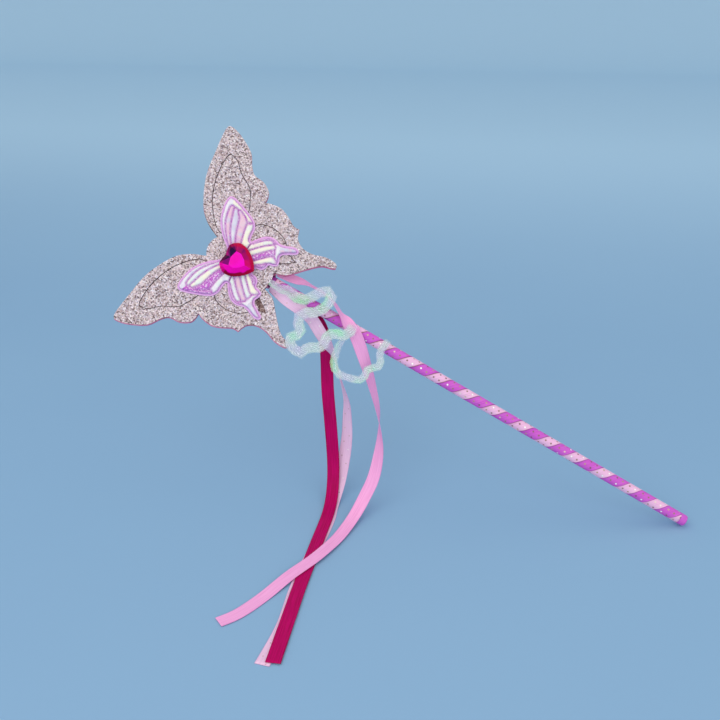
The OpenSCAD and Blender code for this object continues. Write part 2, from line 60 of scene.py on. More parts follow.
HALF_SPAN = 78.0
FACE_Z = 6.3
FOIL_Z = 9.6
GEM_INNER_Z = 12.6
APPLIQUE_AT = TAIL_AT + 27
APPLIQUE_LEN = 62.0
APPLIQUE_SPAN = 76.0
HEART_AT = (-(TAIL_AT + 46.9 + 0.56 * 24), 0)
BORDER_W = 1.25
RIBBON_W = 9.0
RIBBON_T = 0.4
BRAID_T = 0.3
UPPER_BRAID_W = 7.6
LOWER_BRAID_W = 5.6
FLOOR_Z = -3.6

# The braid is gathered at its start to this share of its width, and spreads over this length.
BRAID_GATHER = 0.5
BRAID_SPREAD = 16.0
# Its corners: the least length they take up, the most as a share of a span, their longest mitre, and the rows of
# points on the straight between two of them.
CORNER_LEAST = 0.2
CORNER_SHARE = 0.45
MITRE_MOST = 1.5
BRAID_ROWS = 5
# Ripples of its edges: the share of the width, and the wave's length.
FINE_RIPPLE = (0.03, 1.7)
BROAD_RIPPLE = (0.05, 8.3)

# The hand-wound ribbon strays least at one place from the butt, and more to both sides of it up to a limit.
DRIFT_LEAST = 0.5
DRIFT_GROWTH = 2.0
DRIFT_MIDDLE = 130
DRIFT_LIMIT = 1.2

# Rows of foil dots: distance of each row from the ribbon's middle, gap along it and radius.
ORCHID_DOTS = (1.9, 5.4, 0.66)
PALE_DOTS = (1.7, 5.4, 0.66)
LOOSE_DOTS = (2.0, 11.0, 0.55)
LOOSE_DOT_SHARE = 0.5
# Half widths of the wound ribbons square to their own run, and one too wide for the painted edge shade to show.
WOUND_ORCHID_HALF = 4.44
WOUND_PALE_HALF = 3.69
NO_EDGE_SHADE = 20.0

# Sizes of a glitter flake and of a spark in the film, in metres.
FLAKE = 0.00085
SPARK = 0.0008

# The stick's own axes in the row frame: along it to the butt, across the wings, out of the face.
POSE = Matrix.Rotation(math.radians(STICK_TILT), 4, "Y") @ Matrix.Rotation(math.radians(HEAD_ROLL), 4, "X")
AXIS_X = POSE @ Vector((1, 0, 0))
AXIS_Y = POSE @ Vector((0, 1, 0))
AXIS_Z = POSE @ Vector((0, 0, 1))

# The photograph's view.
CAMERA_AT = (-0.1105, -0.5416, 0.3360)
CAMERA_LENS = 42.5

# Routes of the hanging ribbons: a point, then the direction of the ribbon's width.
CERISE_ROUTE = [
    ((-297.3, 2.8, 150.1), (0.26, 0.83, 0.49)), ((-290.4, 3.1, 146), (0.32, 0.66, 0.66)),
    ((-274.5, 2, 135), (0.41, 0.44, 0.8)), ((-264, 1, 127), (0.6, 0.4, 0.6)),
    ((-258.6, -1.2, 116), (0.85, 0.3, 0.3)), ((-256.6, -3.4, 104), (0.97, 0.22, 0)),
    ((-255.4, -6.4, 79), (0.97, 0.22, 0)), ((-253, -9, 54), (0.97, 0.22, 0)),
    ((-250.8, -11.8, 29.5), (0.97, 0.22, 0)), ((-249.7, -15.2, 15), (0.97, 0.22, 0)),
    ((-249.1, -20.6, 4), (0.98, 0.2, 0)), ((-248, -31, -1.7), (0.99, 0.12, 0)),
    ((-246.5, -47.5, -2.5), (1, 0.05, 0)), ((-245.5, -73.5, -2.5), (1, 0, 0)),
    ((-244.5, -97.5, -2.5), (1, 0, 0)), ((-243.5, -124.5, -2.5), (1, 0, 0)),
    ((-241, -162, -2.5), (1, 0.05, 0)), ((-238.9, -193, -2.5), (1, 0.05, 0))]
LIGHT_PINK_ROUTE = [
    ((-293.8, 5.3, 157.4), (-0.13, 0.97, -0.2)), ((-286.9, 6.5, 156.2), (0.04, 0.97, 0.21)),
    ((-278.9, 6.2, 154.2), (0.06, 0.96, 0.25)), ((-269.8, 4.8, 151.9), (-0.12, 0.98, -0.17)),
    ((-259.8, 3.9, 147.2), (-0.11, 0.98, -0.2)), ((-252.1, 1.2, 141.8), (-0.06, 0.97, -0.25)),
    ((-245.5, -4.2, 136.1), (0.06, 0.97, -0.24)), ((-239.2, -5.7, 128.2), (0.74, 0.6, 0.25)),
    ((-233.5, -7, 119.6), (0.9, 0.4, 0.2)), ((-227, -6.5, 99.5), (0.62, 0.78, 0.1)),
    ((-222.5, -7, 84.5), (0.36, 0.93, 0)), ((-217.5, -9.5, 66), (0.02, 1, 0)),
    ((-215.5, -13.5, 49.5), (-0.5, 0.85, 0)), ((-215.5, -18, 35.5), (-0.85, 0.5, 0)),
    ((-217.5, -24.5, 21), (-0.97, 0.1, 0)), ((-222, -32.5, 9.5), (-0.97, 0, 0)),
    ((-227, -46, 0.5), (-0.98, 0.1, 0)), ((-232, -67.5, -2), (-0.98, 0.2, 0)),
    ((-237, -84, -1.6), (-0.95, 0.28, 0)), ((-243, -99, -1.5), (-0.92, 0.38, 0)),
    ((-252.5, -117.5, -1.7), (-0.9, 0.42, 0)), ((-262.5, -139.5, -3), (-0.9, 0.44, 0)),
    ((-272, -157.5, -3), (-0.87, 0.5, 0)), ((-281, -167.5, -3), (-0.8, 0.6, 0))]
DOTTED_ROUTE = [
    ((-296.3, -4.42, 151.77), (0.42, -0.41, 0.81)), ((-290.1, -5.65, 148.55), (0.48, -0.05, 0.8)),
    ((-281.7, -7, 143.2), (0.52, 0.4, 0.74)), ((-272.8, -6.3, 136.9), (0.52, 0.3, 0.78)),
    ((-266.5, -5.5, 131), (0.65, 0.1, 0.7)), ((-260, -6.5, 121.5), (0.8, 0.1, 0.5)),
    ((-254, -8.5, 113), (0.8, -0.3, 0.2)), ((-249.5, -8.5, 103), (0.5, -0.8, 0)),
    ((-245.5, -6.5, 86.5), (0.45, -0.85, 0)), ((-242, -4.5, 70), (0.65, -0.7, 0)),
    ((-241.6, -4.2, 57), (0.8, -0.5, 0)), ((-241.7, -4.9, 41.5), (0.92, -0.3, 0)),
    ((-243.2, -7.4, 25), (0.95, 0, 0)), ((-245.1, -13.7, 9), (0.97, 0.1, 0)),
    ((-246.6, -23.4, -0.7), (0.98, 0.1, 0)), ((-246.2, -34.8, -3.1), (0.99, 0.05, 0)),
    ((-244.7, -48.7, -3.3), (1, 0, 0)), ((-244.6, -71, -3.3), (1, 0, 0)),
    ((-245.3, -97.5, -3.3), (1, -0.05, 0)), ((-245.3, -125.5, -3.3), (1, 0, 0)),
    ((-242.7, -162, -3.3), (1, 0.05, 0)), ((-244.7, -195, -3.3), (1, 0, 0))]

# Routes of the wavy braid, in the stick's own axes.
BRAID_UPPER_ROUTE = [
    (-334.4, -1, 7.2), (-326, -1.4, 7.2), (-319.5, 0.2, 7.4), (-312.5, -1.2, 7.6), (-307, 0.4, 7.8),
    (-303.5, 5, 8.2), (-300.5, 10, 8.6), (-296, 13.2, 9), (-292, 11, 9.4), (-291.4, 6.4, 9.4),
    (-293, 1.2, 9.4), (-296.6, -3.8, 9.2), (-301.4, -6.8, 9), (-304.4, -11.4, 8.6), (-302.8, -16, 8.2),
    (-299, -19.4, 8), (-299.4, -23.4, 8), (-302.4, -27, 8), (-300.6, -31.2, 8), (-295.6, -33, 8),
    (-291, -32.4, 8), (-289.4, -28.6, 8), (-286.4, -25.6, 8), (-282.4, -23.6, 8), (-280.2, -19.6, 8),
    (-281, -15, 8), (-279.4, -11, 8.4), (-275.4, -8.6, 9), (-271, -7.2, 10), (-268.8, -3, 10.6),
    (-269.2, 1.4, 10.4), (-270, 4.6, 9.6)]
BRAID_LOWER_ROUTE = [
    (-267.6, -4.4, 9.7), (-270.6, -9.6, 8.2), (-271, -15.6, 6.6), (-270, -21.4, 6), (-268.4, -26.6, 6),
    (-265, -30.6, 6), (-260.2, -32.4, 6), (-255.4, -31.4, 6), (-250.6, -30.2, 6), (-246.4, -28.6, 6),
    (-244.8, -24.6, 6), (-245.4, -20, 6), (-242.8, -16.8, 6), (-239.6, -14, 6), (-240.4, -10, 6),
    (-243, -6.8, 6.2), (-244, -3, 6.4), (-243.4, 0.4, 6.3), (-243, 3.4, 5.7), (-242.9, 5.2, 3),
    (-242.9, 5.7, -0.4)]

# Half outline of the applique: shares of its length from its tails, and of half its span.
FORE_SHARES = [
    (0.690, 0), (0.730, 0.128), (0.825, 0.256), (0.897, 0.389), (0.951, 0.529), (0.986, 0.729),
    (0.993, 0.865), (0.980, 0.955), (0.939, 0.985), (0.866, 0.962), (0.771, 0.909), (0.663, 0.838),
    (0.590, 0.765), (0.553, 0.660), (0.548, 0.556), (0.538, 0.465), (0.520, 0.437)]
HIND_SHARES = [
    (0.520, 0.437), (0.486, 0.520), (0.440, 0.610), (0.390, 0.672), (0.334, 0.699), (0.284, 0.690),
    (0.235, 0.668), (0.186, 0.676), (0.121, 0.716), (0.055, 0.745), (0.006, 0.718), (0.006, 0.650),
    (0.080, 0.574), (0.137, 0.514), (0.155, 0.449), (0.135, 0.372), (0.132, 0.292), (0.172, 0.247),
    (0.217, 0.224), (0.238, 0.131), (0.275, 0.072), (0.328, 0.054), (0.345, 0)]

# Middle lines of the film's puffed ribs in the same shares. Lines of one rib have no seam between them.
FORE_RIBS = {
    "lead": (0, [(0.700, 0.090), (0.748, 0.185), (0.844, 0.357), (0.900, 0.509), (0.929, 0.670),
                 (0.940, 0.804), (0.920, 0.889)]),
    "trail": (0, [(0.900, 0.900), (0.845, 0.875), (0.737, 0.826), (0.641, 0.783), (0.605, 0.752)]),
    "first": (1, [(0.660, 0.120), (0.729, 0.222), (0.797, 0.364), (0.852, 0.518), (0.879, 0.660),
                  (0.889, 0.783)]),
    "second": (2, [(0.620, 0.140), (0.689, 0.260), (0.744, 0.414), (0.778, 0.569), (0.810, 0.708),
                   (0.840, 0.792)]),
    "third": (3, [(0.590, 0.170), (0.643, 0.303), (0.676, 0.460), (0.704, 0.620), (0.726, 0.731),
                  (0.789, 0.811)]),
    "leaf": (4, [(0.550, 0.220), (0.574, 0.368), (0.593, 0.519), (0.599, 0.664), (0.595, 0.724)])}
HIND_RIBS = {
    "edge": (0, [(0.490, 0.450), (0.462, 0.503), (0.397, 0.611), (0.336, 0.668), (0.265, 0.661)]),
    "first": (1, [(0.530, 0.307), (0.492, 0.362), (0.444, 0.454), (0.377, 0.555), (0.325, 0.604)]),
    "second": (2, [(0.500, 0.170), (0.452, 0.250), (0.387, 0.358), (0.313, 0.475), (0.265, 0.550)]),
    "third": (3, [(0.460, 0.100), (0.407, 0.189), (0.345, 0.304), (0.280, 0.413), (0.250, 0.450)]),
    "fourth": (4, [(0.420, 0.040), (0.363, 0.128), (0.295, 0.229), (0.234, 0.316), (0.190, 0.345)]),
    "inner": (5, [(0.360, 0.030), (0.334, 0.080), (0.278, 0.115), (0.245, 0.177)]),
    "joint": (6, [(0.245, 0.600), (0.225, 0.563), (0.191, 0.469), (0.174, 0.391)]),
    "tail": (6, [(0.175, 0.560), (0.110, 0.625), (0.035, 0.690)])}

# Places in the film's range of tints.
VIOLET, LILAC, ROSE, BLUISH, PEARL, MINT, LEMON = 0.02, 0.16, 0.32, 0.46, 0.62, 0.78, 0.94

# Middle, half length, half width and turn of an oval round the slit of each wing on one side, where shade is painted.
FORE_SLIT = (0.765, 0.455, 36.0, 17.5, 60.0)
HIND_SLIT = (0.378, 0.262, 23.0, 16.0, 0.0)


def colour(red, green, blue):
    """A colour given in screen values from 0 to 255, as a shader takes it."""
    linear = [v / 255 / 12.92 if v / 255 <= 0.04045 else ((v / 255 + 0.055) / 1.055) ** 2.4
              for v in (red, green, blue)]
    return (*linear, 1)


def in_row(point):
    """A point in the stick's own axes, in millimetres, as a point of the row frame in metres."""
    return (POSE @ Vector(point)) * MM


def through(a, b, c, d, t):
    """A point of the smooth curve from b to c, with a before it and d after it."""
    return (2 * b + (c - a) * t + (2 * a - 5 * b + 4 * c - d) * t * t + (3 * b - a - 3 * c + d) * t ** 3) / 2


def open_curve(points, steps):
    """Points of a smooth curve through the given ones, with that many steps between each two."""
    p = [Vector(q) for q in points]
    last = len(p) - 1
    curve = [through(p[max(k - 1, 0)], p[k], p[k + 1], p[min(k + 2, last)], i / steps)
             for k in range(last) for i in range(steps)]
    return curve + [p[last]]


class Paint:
    """A material's node tree, with short calls that add nodes and join them."""

    def __init__(self, name, **values):
        self.material = bpy.data.materials.new(name)
        self.material.use_nodes = True
        self.tree = self.material.node_tree
        self.shader = self.tree.nodes["Principled BSDF"]
        for key, value in values.items():
            self.put(key.replace("_", " "), value)

    def put(self, socket, value):
        """Sets one of the shader's sockets, or joins another node's output to it."""
        self._fill(self.shader.inputs[socket], value)

    def _fill(self, socket, value):
        if isinstance(value, bpy.types.NodeSocket):
            self.tree.links.new(value, socket)
        else:
            socket.default_value = value

    def node(self, kind, inputs=(), output=0, **settings):
        """Adds a node and returns one of its outputs."""
        node = self.tree.nodes.new("ShaderNode" + kind)
        for key, value in settings.items():
            setattr(node, key, value)
        for key, value in dict(inputs).items():
            self._fill(node.inputs[key], value)
        return node.outputs[output]

    def math(self, operation, *values):
        return self.node("Math", dict(enumerate(values)), operation=operation)

    def vector(self, x, y, z=0.0):
        return self.node("CombineXYZ", {0: x, 1: y, 2: z})

    def dot(self, a, b):
        return self.node("VectorMath", {0: a, 1: b}, output=1, operation="DOT_PRODUCT")

    def split(self, vector):
        node = self.tree.nodes.new("ShaderNodeSeparateXYZ")
        self._fill(node.inputs[0], vector)
        return node.outputs[0], node.outputs[1], node.outputs[2]

    def mix(self, factor, a, b, **settings):
        return self.node("Mix", {0: factor, 6: a, 7: b}, output=2, data_type="RGBA", **settings)

    def blend(self, factor, a, b):
        """A number between a and b."""
        return self.node("Mix", {0: factor, 2: a, 3: b}, output=0, data_type="FLOAT")

    def ramp(self, factor, stops):
        """A colour by a number, from stops of a place and a colour."""
        node = self.tree.nodes.new("ShaderNodeValToRGB")
        elements = node.color_ramp.elements
        while len(elements) < len(stops):
            elements.new(1)
        for element, (at, shade) in zip(elements, stops):
            element.position = at
            element.color = shade
        self._fill(node.inputs[0], factor)
        return node.outputs[0]

    def step(self, value, low, high):
        """0 below low, 1 above high and smooth between."""
        return self.node("MapRange", {0: value, 1: low, 2: high, 3: 0.0, 4: 1.0},
                         interpolation_type="SMOOTHSTEP")

    def below(self, value, low, high):
        """1 below low, 0 above high and smooth between."""
        return self.node("MapRange", {0: value, 1: low, 2: high, 3: 1.0, 4: 0.0},
                         interpolation_type="SMOOTHSTEP")

    def noise(self, vector, scale, detail=2.0):
        return self.node("TexNoise", {"Vector": vector, "Scale": scale, "Detail": detail})

    def cells(self, vector, scale, output=0):
        return self.node("TexVoronoi", {"Vector": vector, "Scale": scale}, output=output)

    def place(self):
        """The point in the row frame, in metres."""
        return self.node("TexCoord", output=3)

    def facing(self, axis):
        """How far the surface itself faces along an axis."""
        return self.dot(self.node("NewGeometry", output=3), axis)

    def bump(self, height, strength, distance):
        self.put("Normal", self.node("Bump", {"Height": height, "Strength": strength, "Distance": distance}))


def strip_uv(paint):
    """Millimetres along a ribbon and across it from its middle."""
    along, across, _ = paint.split(paint.node("UVMap"))
    return along, across


# Tones of the rose-gold foil dots from dull to near white: each dot's painted reflection.
FOIL_REFLECTION_STOPS = [(0.0, colour(138, 100, 100)), (0.45, colour(172, 134, 120)), (0.7, colour(212, 178, 146)),
              (0.86, colour(255, 250, 242))]


def foil_dots(paint, along, across, row, gap, radius):
    """Two rows of foil dots: where they are, and for each dot a tone from dull to near white, a painted reflection.
    """
    nearest, tone = None, None
    for offset, start in ((row, 0.0), (-row, gap / 2)):
        moved = paint.math("ADD", along, start)
        x = paint.math("WRAP", moved, gap / 2, -gap / 2)
        y = paint.math("SUBTRACT", across, offset)
        away = paint.node("VectorMath", {0: paint.vector(x, y)}, output=1, operation="LENGTH")
        number = paint.math("ADD", paint.math("ROUND", paint.math("DIVIDE", moved, gap)), offset)
        lot = paint.node("TexWhiteNoise", {"W": number}, noise_dimensions="1D")
        if nearest is None:
            nearest, tone = away, lot
        else:
            tone = paint.blend(paint.math("LESS_THAN", away, nearest), tone, lot)
            nearest = paint.math("MINIMUM", nearest, away)
    return paint.below(nearest, radius - 0.12, radius + 0.08), paint.ramp(tone, FOIL_REFLECTION_STOPS)


def satin(name, base, shade, painted_edge_shade, half_width, dots=None, dot_share=1.0):
    """Satin ribbon: weft lines, soft streaks along it, both edges darkened by painted shade and, if asked, two rows
    of foil dots.
    """
    paint = Paint(name, Roughness=0.5, Specular_IOR_Level=0.07)
    along, across = strip_uv(paint)
    drawn_out = paint.vector(paint.math("MULTIPLY", along, 0.05), paint.math("MULTIPLY", across, 1.6))
    weft = paint.math("SINE", paint.math("MULTIPLY", along, 2 * math.pi / 0.42))
    streak = paint.math("ADD", paint.noise(drawn_out, 1.0), paint.math("MULTIPLY", weft, 0.03))
    face = paint.mix(paint.step(streak, 0.3, 0.75), base, shade)
    # Painted shade: both edges darkened, as in the creases where the wound bands meet.
    edge = paint.step(paint.math("ABSOLUTE", across), half_width - 0.5, half_width - 0.12)
    face = paint.mix(paint.math("MULTIPLY", edge, 0.7), face, painted_edge_shade)
    height = paint.math("MULTIPLY", weft, 0.3)
    if dots:
        # Foil dots, each with a painted reflection from dull to near white.
        mask, foil = foil_dots(paint, along, across, *dots)
        face = paint.mix(paint.math("MULTIPLY", mask, dot_share), face, foil)
        paint.put("Metallic", paint.math("MULTIPLY", mask, 0.5 * dot_share))
        height = paint.math("ADD", height, mask)
    paint.put("Base Color", face)
    paint.bump(height, 0.25, 0.0001)
    return paint.material


def sheer_braid(name, half_width, end):
    """Sheer braid: wavy threads, pearly mint and lilac patches, thin between them and frayed at its edges and end."""
    paint = Paint(name, Roughness=0.4, Specular_IOR_Level=0.2)
    along, across = strip_uv(paint)
    place = paint.vector(along, across)
    wander = paint.math("SUBTRACT", paint.noise(place, 0.35, 2.0), 0.5)
    lean = paint.math("ADD", across, paint.math("ADD", paint.math("MULTIPLY", along, 0.3),
                                                paint.math("MULTIPLY", wander, 3.5)))
    swing = paint.math("ABSOLUTE", paint.math("SINE", paint.math("MULTIPLY", lean, math.pi / 1.25)))
    thread = paint.below(swing, 0.1, 0.7)
    patches = paint.vector(paint.math("MULTIPLY", along, 0.06), paint.math("MULTIPLY", across, 0.10))
    pearl = paint.ramp(paint.noise(patches, 1.0, 2.0), [
        (0.32, colour(208, 200, 226)), (0.43, colour(208, 214, 224)), (0.50, colour(212, 226, 220)),
        (0.58, colour(194, 236, 208)), (0.70, colour(164, 244, 176))])
    speck = paint.noise(place, 1.1, 3.0)
    pearl = paint.mix(paint.math("MULTIPLY", thread, 0.6), pearl, colour(234, 236, 240))
    pearl = paint.mix(paint.math("MULTIPLY", paint.step(speck, 0.55, 0.7), 0.6), pearl, colour(246, 244, 250))
    paint.put("Base Color", pearl)
    cover = paint.blend(thread, 0.44, 0.78)
    cover = paint.math("ADD", cover, paint.math("MULTIPLY", paint.math("SUBTRACT", speck, 0.5), 0.8))
    rim = paint.math("ADD", paint.math("ABSOLUTE", across), paint.math("MULTIPLY", speck, 1.8))
    within = paint.blend(paint.below(rim, half_width - 0.4, half_width + 1.0), 0.3, 1.0)
    cover = paint.math("MULTIPLY", cover, within)
    frayed = paint.math("ADD", along, paint.math("MULTIPLY", speck, 5.0))
    cover = paint.math("MULTIPLY", cover, paint.below(frayed, end - 5.0, end + 1.5))
    cover = paint.math("MULTIPLY", cover, paint.blend(paint.step(along, 8.0, 36.0), 0.62, 1.0))
    paint.put("Alpha", paint.node("Clamp", {0: cover, 1: 0.0, 2: 0.92}))
    paint.bump(thread, 0.4, 0.0002)
    return paint.material


def slit_shade_mask(paint, place):
    """1 round the slits of the wings, where their shade is painted, and 0 towards the edges of the foam."""
    x, y = (paint.math("DIVIDE", paint.dot(place, axis), MM) for axis in (AXIS_X, AXIS_Y))
    nearest = None
    for share, out, long, wide, turn in (FORE_SLIT, HIND_SLIT):
        dx = paint.math("ADD", x, TAIL_AT + share * HEAD_LEN)
        dy = paint.math("SUBTRACT", paint.math("ABSOLUTE", y), out * HALF_SPAN)
        c, s = math.cos(math.radians(turn)), math.sin(math.radians(turn))
        u = paint.math("SUBTRACT", paint.math("MULTIPLY", dy, s), paint.math("MULTIPLY", dx, c))
        v = paint.math("ADD", paint.math("MULTIPLY", dy, c), paint.math("MULTIPLY", dx, s))
        oval = paint.vector(paint.math("DIVIDE", u, long), paint.math("DIVIDE", v, wide))
        away = paint.node("VectorMath", {0: oval}, output=1, operation="LENGTH")
        nearest = away if nearest is None else paint.math("MINIMUM", nearest, away)
    return paint.below(nearest, 0.97, 1.03)


def glitter(name):
    """Glitter foam: packed flakes tinted and tilted on the face, plain foam cut edges, dark painted shade in the
    slits.
    """
    paint = Paint(name, Specular_IOR_Level=0.4)
    place = paint.place()
    grain = paint.cells(place, 1 / FLAKE, 1)
    pick, tint, tilt = paint.split(grain)
    flake = paint.ramp(pick, [(0.0, colour(98, 84, 84)), (0.14, colour(142, 126, 126)),
                              (0.34, colour(186, 172, 172)), (0.62, colour(212, 202, 202)),
                              (0.86, colour(234, 226, 226)), (1.0, colour(252, 248, 248))])
    hue = paint.ramp(tint, [(0.0, colour(240, 212, 200)), (0.4, colour(255, 250, 250)),
                            (0.7, colour(248, 220, 228)), (1.0, colour(228, 226, 246))])
    flake = paint.mix(0.75, flake, hue, blend_type="MULTIPLY")
    face = paint.step(paint.facing(AXIS_Z), 0.55, 0.75)
    # The slit walls take a painted dark shade; the outer cut edges keep the foam's own pink.
    cut = paint.mix(slit_shade_mask(paint, place), colour(206, 146, 152), colour(52, 32, 32))
    paint.put("Base Color", paint.mix(face, cut, flake))
    paint.put("Metallic", paint.math("MULTIPLY", paint.step(tilt, 0.55, 0.9), paint.math("MULTIPLY", face, 0.5)))
    paint.put("Roughness", paint.blend(face, 0.8, 0.42))
    lean = paint.node("VectorMath", {0: grain, 1: (0.5, 0.5, 0.5)}, operation="SUBTRACT")
    lean = paint.node("VectorMath", {0: lean, "Scale": paint.math("MULTIPLY", face, 0.5)}, operation="SCALE")
    leant = paint.node("VectorMath", {0: paint.node("NewGeometry", output=1), 1: lean})
    paint.put("Normal", paint.node("VectorMath", {0: leant}, operation="NORMALIZE"))
    return paint.material


def plain_foam(name, base, shade):
    """Foam sheet: matt, with fine pores and soft mottling, and brown painted shade where the slits show it."""
    paint = Paint(name, Roughness=0.85, Specular_IOR_Level=0.2)
    place = paint.place()
    face = paint.mix(paint.step(paint.noise(place, 260.0, 4.0), 0.35, 0.7), base, shade)
    # Painted shade: brown flecks where the sheet shows through the slits.
    pick, _, _ = paint.split(paint.cells(place, 1 / FLAKE, 1))
    brown = paint.ramp(pick, [(0.0, colour(84, 60, 58)), (0.5, colour(146, 116, 110)),
                              (1.0, colour(210, 180, 174))])
    under = paint.math("MULTIPLY", slit_shade_mask(paint, place), paint.step(paint.facing(AXIS_Z), 0.5, 0.8))
    paint.put("Base Color", paint.mix(under, face, brown))
    paint.bump(paint.cells(place, 2600.0), 0.35, 0.0002)
    return paint.material


def wood(name):
    """Bare dowel: long fine grain."""
    paint = Paint(name, Roughness=0.6)
    place = paint.place()
    along = paint.math("MULTIPLY", paint.dot(place, AXIS_X), 8.0)
    _, y, z = paint.split(place)
    grain = paint.noise(paint.vector(along, y, z), 900.0, 3.0)
    paint.put("Base Color", paint.ramp(grain, [(0.35, colour(170, 128, 84)), (0.65, colour(214, 176, 128))]))
    paint.bump(grain, 0.2, 0.0001)
    return paint.material


def border_cloth():
    """The applique's sealed border: a pink-lilac rolled rim, a little deeper at its inner edge."""
    paint = Paint("lilac_cloth", Roughness=0.45, Specular_IOR_Level=0.3)
    around, inward = strip_uv(paint)
    blot = paint.noise(paint.vector(paint.math("MULTIPLY", around, 0.3), inward), 1.0, 3.0)
    place = paint.math("ADD", inward, paint.math("MULTIPLY", paint.math("SUBTRACT", blot, 0.5), 0.35))
    # The lighter band over the roll's crest is a painted highlight.
    paint.put("Base Color", paint.ramp(paint.math("DIVIDE", place, 2.0), [
        (0.0, colour(226, 168, 220)), (0.15, colour(242, 192, 234)), (0.38, colour(240, 190, 236)),
        (0.56, colour(230, 172, 232))]))
    weave = paint.math("SINE", paint.math("MULTIPLY", around, 2 * math.pi / 0.5))
    paint.bump(weave, 0.15, 0.0001)
    return paint.material


def puffed_film():
    """Holographic film: a pearly tint on each rib, drifting a little, and frayed sparkling violet seams."""
    paint = Paint("holographic_film", Roughness=0.3, Specular_IOR_Level=0.35, Coat_Weight=0.12,
                  Coat_Roughness=0.15)
    away, tint, _ = paint.split(paint.node("UVMap"))
    place = paint.place()
    fray = paint.math("SUBTRACT", paint.noise(place, 1300.0, 3.0), 0.5)
    drift = paint.math("SUBTRACT", paint.noise(place, 190.0, 2.0), 0.5)
    shifted = paint.math("ADD", tint, paint.math("MULTIPLY", drift, 0.6))
    film = paint.ramp(shifted, [
        (VIOLET, colour(198, 94, 196)), (LILAC, colour(220, 168, 216)), (ROSE, colour(242, 198, 210)),
        (BLUISH, colour(214, 210, 226)), (PEARL, colour(246, 236, 238)), (MINT, colour(230, 238, 230)),
        (LEMON, colour(250, 243, 218))])
    frayed = paint.math("ADD", away, paint.math("MULTIPLY", fray, 1.8))
    # Painted shade: a lilac halo on the slopes down into each seam.
    film = paint.mix(paint.math("MULTIPLY", paint.below(frayed, 0.3, 1.35), 0.75), film, colour(216, 162, 214))
    strength = paint.blend(paint.step(paint.noise(place, 420.0, 1.0), 0.38, 0.6), 0.45, 0.95)
    seam = paint.math("MULTIPLY", paint.below(frayed, 0.12, 0.5), strength)
    film = paint.mix(seam, film, colour(194, 98, 196))
    spark, shine, _ = paint.split(paint.cells(place, 1 / SPARK, 1))
    violet = paint.math("MAXIMUM", paint.below(shifted, 0.12, 0.3), paint.math("MULTIPLY", seam, 0.8))
    film = paint.mix(paint.math("MULTIPLY", paint.math("MULTIPLY", paint.step(spark, 0.7, 0.8), violet), 0.75),
                     film, colour(242, 216, 238))
    dark = paint.math("MULTIPLY", paint.step(shine, 0.72, 0.82), paint.below(shifted, 0.12, 0.3))
    film = paint.mix(paint.math("MULTIPLY", dark, 0.6), film, colour(170, 58, 178))
    paint.put("Base Color", film)
    paint.bump(paint.noise(place, 700.0, 2.0), 0.25, 0.0003)
    return paint.material


def tinted_gem():
    """The foiled gem, each facet coloured by the way it faces: painted reflections and shade, crimson at the rim."""
    paint = Paint("magenta_gem", Roughness=0.1, Specular_IOR_Level=0.1)
    x, y, z = (paint.facing(axis) for axis in (AXIS_X, AXIS_Y, AXIS_Z))
    turn = paint.math("DIVIDE", paint.math("ADD", paint.math("ARCTAN2", y, x), math.pi), 2 * math.pi)
    # Painted reflections bright round the table and low on one side, painted shade where a facet leans away.
    outer = paint.ramp(turn, [
        (0.00, colour(96, 0, 60)), (0.06, colour(196, 0, 128)), (0.11, colour(238, 0, 160)),
        (0.17, colour(214, 0, 124)), (0.24, colour(128, 0, 44)), (0.32, colour(146, 0, 40)),
        (0.40, colour(168, 0, 52)), (0.48, colour(206, 0, 84)), (0.58, colour(190, 0, 62)),
        (0.70, colour(184, 0, 62)), (0.82, colour(190, 0, 66)), (0.90, colour(150, 0, 72)),
        (0.96, colour(84, 0, 56))])
    inner = paint.ramp(turn, [
        (0.00, colour(70, 0, 78)), (0.06, colour(150, 0, 120)), (0.10, colour(250, 0, 180)),
        (0.20, colour(252, 0, 184)), (0.30, colour(250, 0, 176)), (0.42, colour(248, 0, 170)),
        (0.50, colour(236, 0, 140)), (0.60, colour(214, 0, 104)), (0.70, colour(120, 0, 96)),
        (0.80, colour(190, 0, 90)), (0.88, colour(96, 0, 84)), (0.95, colour(40, 0, 56))])
    place = paint.place()
    height = paint.math("DIVIDE", paint.dot(place, AXIS_Z), MM)
    wave = paint.math("SUBTRACT", paint.noise(place, 260.0, 1.0), 0.5)
    level = paint.math("ADD", height, paint.math("MULTIPLY", wave, 1.2))
    side = paint.mix(paint.step(level, GEM_INNER_Z - 0.35, GEM_INNER_Z + 0.35), outer, inner)
    # The table's painted reflection, in two bright magentas.
    painted_table_shine = paint.noise(place, 110.0, 1.0)
    table = paint.mix(paint.step(painted_table_shine, 0.35, 0.7), colour(250, 0, 178), colour(255, 0, 204))
    paint.put("Base Color", paint.mix(paint.step(z, 0.93, 0.97), side, table))
    return paint.material


def mirror_foil():
    """Bright foil, slightly crinkled."""
    paint = Paint("gem_foil", Metallic=1.0, Roughness=0.2)
    crinkle = paint.noise(paint.place(), 900.0, 3.0)
    paint.put("Base Color", paint.mix(crinkle, colour(206, 206, 212), colour(238, 238, 242)))
    paint.bump(crinkle, 0.2, 0.0001)
    return paint.material


def piece(name, points, faces, uvs, material, slot, body, nodes):
    """A mesh in the row frame that rides on a body and stands for CAD nodes."""
    mesh = bpy.data.meshes.new(name)
    mesh.from_pydata(points, [], faces)
    layer = mesh.uv_layers.new(name="UVMap")
    for loop in mesh.loops:
        layer.data[loop.index].uv = uvs[loop.vertex_index]
    mesh.materials.append(material)
    mesh.shade_smooth()
    mesh.update()
    made = bpy.data.objects.new(name, mesh)
    bpy.context.collection.objects.link(made)
    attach(made, body)
    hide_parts(*nodes)
    return made


